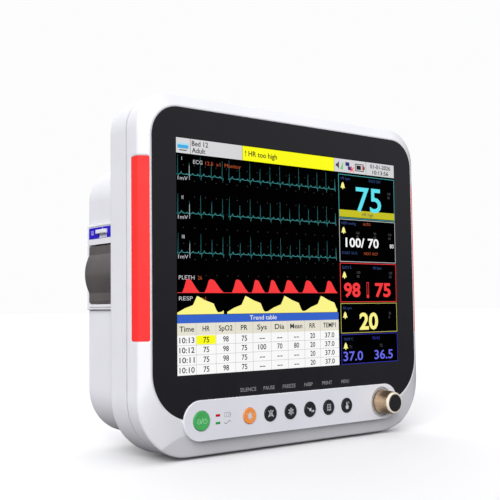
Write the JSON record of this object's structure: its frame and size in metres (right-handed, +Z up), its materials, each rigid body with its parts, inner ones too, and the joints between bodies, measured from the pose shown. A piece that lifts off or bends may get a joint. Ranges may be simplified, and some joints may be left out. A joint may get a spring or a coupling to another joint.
{
  "type": "patient monitor",
  "caption": "Bedside patient monitor with a large colour screen, row of round keys, turn-and-push knob, side alarm lights, side strip recorder and folding carry handle.",
  "frame": {"origin": "on the table, under the middle of the case's bounding box", "axes": "+X to the right of someone facing the screen, +Y from the screen towards the rear, +Z up"},
  "size_m": [0.3812, 0.1678, 0.353],
  "materials": {
    "case_front": "fine satin moulding",
    "surround": "smooth black",
    "display": "dark anti-glare display glass",
    "alarm_red": "translucent lens",
    "circuit_green": "coated board",
    "panel_white": "satin",
    "key_green": "satin",
    "key_orange": "satin",
    "key_black": "satin",
    "light_red": "lit window",
    "light_green": "lit window",
    "well_grey": "satin",
    "steel": "zinc plated",
    "knob_metal": "fluted, champagne anodised",
    "knob_cream": "polished",
    "knob_black": "polished",
    "case_rear": "fine textured moulding",
    "brass": "turned",
    "rubber_grey": "soft, matt",
    "handle_grey": "fine textured moulding",
    "pin_steel": "ground",
    "module_metal": "folded sheet",
    "pump_black": "moulded",
    "rubber_black": "soft, matt",
    "battery_blue": "shrink sleeve",
    "inlet_black": "moulded",
    "nickel": "nickel plated",
    "socket_grey": "satin",
    "socket_green": "moulded",
    "socket_blue": "moulded",
    "socket_brown": "moulded",
    "frame_white": "satin",
    "band_blue": "printed film",
    "door_smoke": "smoked, translucent",
    "paper": "thermal paper"
  },
  "bodies": {
    "case": {"front_bezel": "case_front", "screen_surround": "surround", "lcd_panel": "display", "alarm_light_left": "alarm_red", "alarm_light_right": "alarm_red", "alarm_boards": "circuit_green", "control_panel": "panel_white", "key_board": "circuit_green", "power_light": "light_red", "battery_light": "light_green", "knob_well": "well_grey", "encoder_body": "steel", "rear_shell": "case_rear", "case_screws": "steel", "mount_inserts": "brass", "feet": "rubber_grey", "hinge_pins": "pin_steel", "chassis": "steel", "main_board": "circuit_green", "power_supply": "module_metal", "parameter_module": "module_metal", "nibp_pump": "pump_black", "speaker": "rubber_black", "battery": "battery_blue", "rear_panel": "module_metal", "power_inlet": "inlet_black", "inlet_pins": "brass", "earth_post": "brass", "fuse_holders": "inlet_black", "network_port": "nickel", "socket_panel": "socket_grey", "ecg_socket": "socket_green", "spo2_socket": "socket_blue", "temp_sockets": "socket_brown", "nibp_port": "nickel", "recorder_frame": "frame_white", "recorder_faceplate": "band_blue", "recorder_tub": "pump_black", "print_head": "module_metal", "feed_motor": "steel"},
    "power_key": {"power_key": "key_green"},
    "silence_key": {"silence_key": "key_orange"},
    "pause_key": {"pause_key": "key_black"},
    "freeze_key": {"freeze_key": "key_black"},
    "nibp_key": {"nibp_key": "key_black"},
    "print_key": {"print_key": "key_black"},
    "menu_key": {"menu_key": "key_black"},
    "knob_press": {"encoder_plunger": "steel"},
    "knob": {"encoder_shaft": "steel", "knob_skirt": "knob_metal", "knob_ring": "knob_cream", "knob_cap": "knob_black"},
    "handle": {"carry_handle": "handle_grey", "handle_grip": "rubber_grey"},
    "recorder_door": {"recorder_door": "door_smoke"},
    "platen": {"platen_roller": "rubber_black"},
    "paper": {"paper_roll": "paper"},
    "recorder_latch": {"recorder_latch": "frame_white"},
    "battery_door": {"battery_door": "case_rear"},
    "battery_latch": {"battery_latch": "handle_grey"}
  },
  "joints": [
    {"name": "power_key_press", "type": "slide", "parent": "case", "child": "power_key", "axis": [0, 1, 0], "range_m": [0, 0.0008], "stiffness_N_per_m": 2000},
    {"name": "silence_key_press", "type": "slide", "parent": "case", "child": "silence_key", "axis": [0, 1, 0], "range_m": [0, 0.0008], "stiffness_N_per_m": 2000},
    {"name": "pause_key_press", "type": "slide", "parent": "case", "child": "pause_key", "axis": [0, 1, 0], "range_m": [0, 0.0008], "stiffness_N_per_m": 2000},
    {"name": "freeze_key_press", "type": "slide", "parent": "case", "child": "freeze_key", "axis": [0, 1, 0], "range_m": [0, 0.0008], "stiffness_N_per_m": 2000},
    {"name": "nibp_key_press", "type": "slide", "parent": "case", "child": "nibp_key", "axis": [0, 1, 0], "range_m": [0, 0.0008], "stiffness_N_per_m": 2000},
    {"name": "print_key_press", "type": "slide", "parent": "case", "child": "print_key", "axis": [0, 1, 0], "range_m": [0, 0.0008], "stiffness_N_per_m": 2000},
    {"name": "menu_key_press", "type": "slide", "parent": "case", "child": "menu_key", "axis": [0, 1, 0], "range_m": [0, 0.0008], "stiffness_N_per_m": 2000},
    {"name": "knob_push", "type": "slide", "parent": "case", "child": "knob_press", "axis": [0, 1, 0], "range_m": [0, 0.0006], "stiffness_N_per_m": 3000},
    {"name": "knob_turn", "type": "hinge", "parent": "knob_press", "child": "knob", "pos_m": [0.1208, -0.0635, 0.0383], "axis": [0, -1, 0], "continuous": true},
    {"name": "handle_fold", "type": "hinge", "parent": "case", "child": "handle", "pos_m": [0, 0.018, 0.3075], "axis": [1, 0, 0], "range_deg": [0, 90]},
    {"name": "recorder_door_hinge", "type": "hinge", "parent": "case", "child": "recorder_door", "pos_m": [-0.1719, 0.0411, 0.1544], "axis": [0, -1, 0], "range_deg": [0, 80]},
    {"name": "platen_turn", "type": "hinge", "parent": "recorder_door", "child": "platen", "pos_m": [-0.165, 0.0411, 0.2025], "axis": [0, 1, 0], "continuous": true},
    {"name": "paper_turn", "type": "hinge", "parent": "case", "child": "paper", "pos_m": [-0.147, 0.0411, 0.1775], "axis": [0, 1, 0], "continuous": true},
    {"name": "latch_slide", "type": "slide", "parent": "case", "child": "recorder_latch", "axis": [0, 0, 1], "range_m": [0, 0.003], "stiffness_N_per_m": 400},
    {"name": "battery_door_hinge", "type": "hinge", "parent": "case", "child": "battery_door", "pos_m": [-0.1445, 0.08, 0.066], "axis": [0, 0, 1], "range_deg": [0, 95]},
    {"name": "battery_latch_turn", "type": "hinge", "parent": "battery_door", "child": "battery_latch", "pos_m": [-0.005, 0.081, 0.066], "axis": [0, 1, 0], "range_deg": [0, 90]}
  ],
  "couplings": [
    {"joint": "paper_turn", "follows": "platen_turn", "ratio": -0.275}
  ]
}
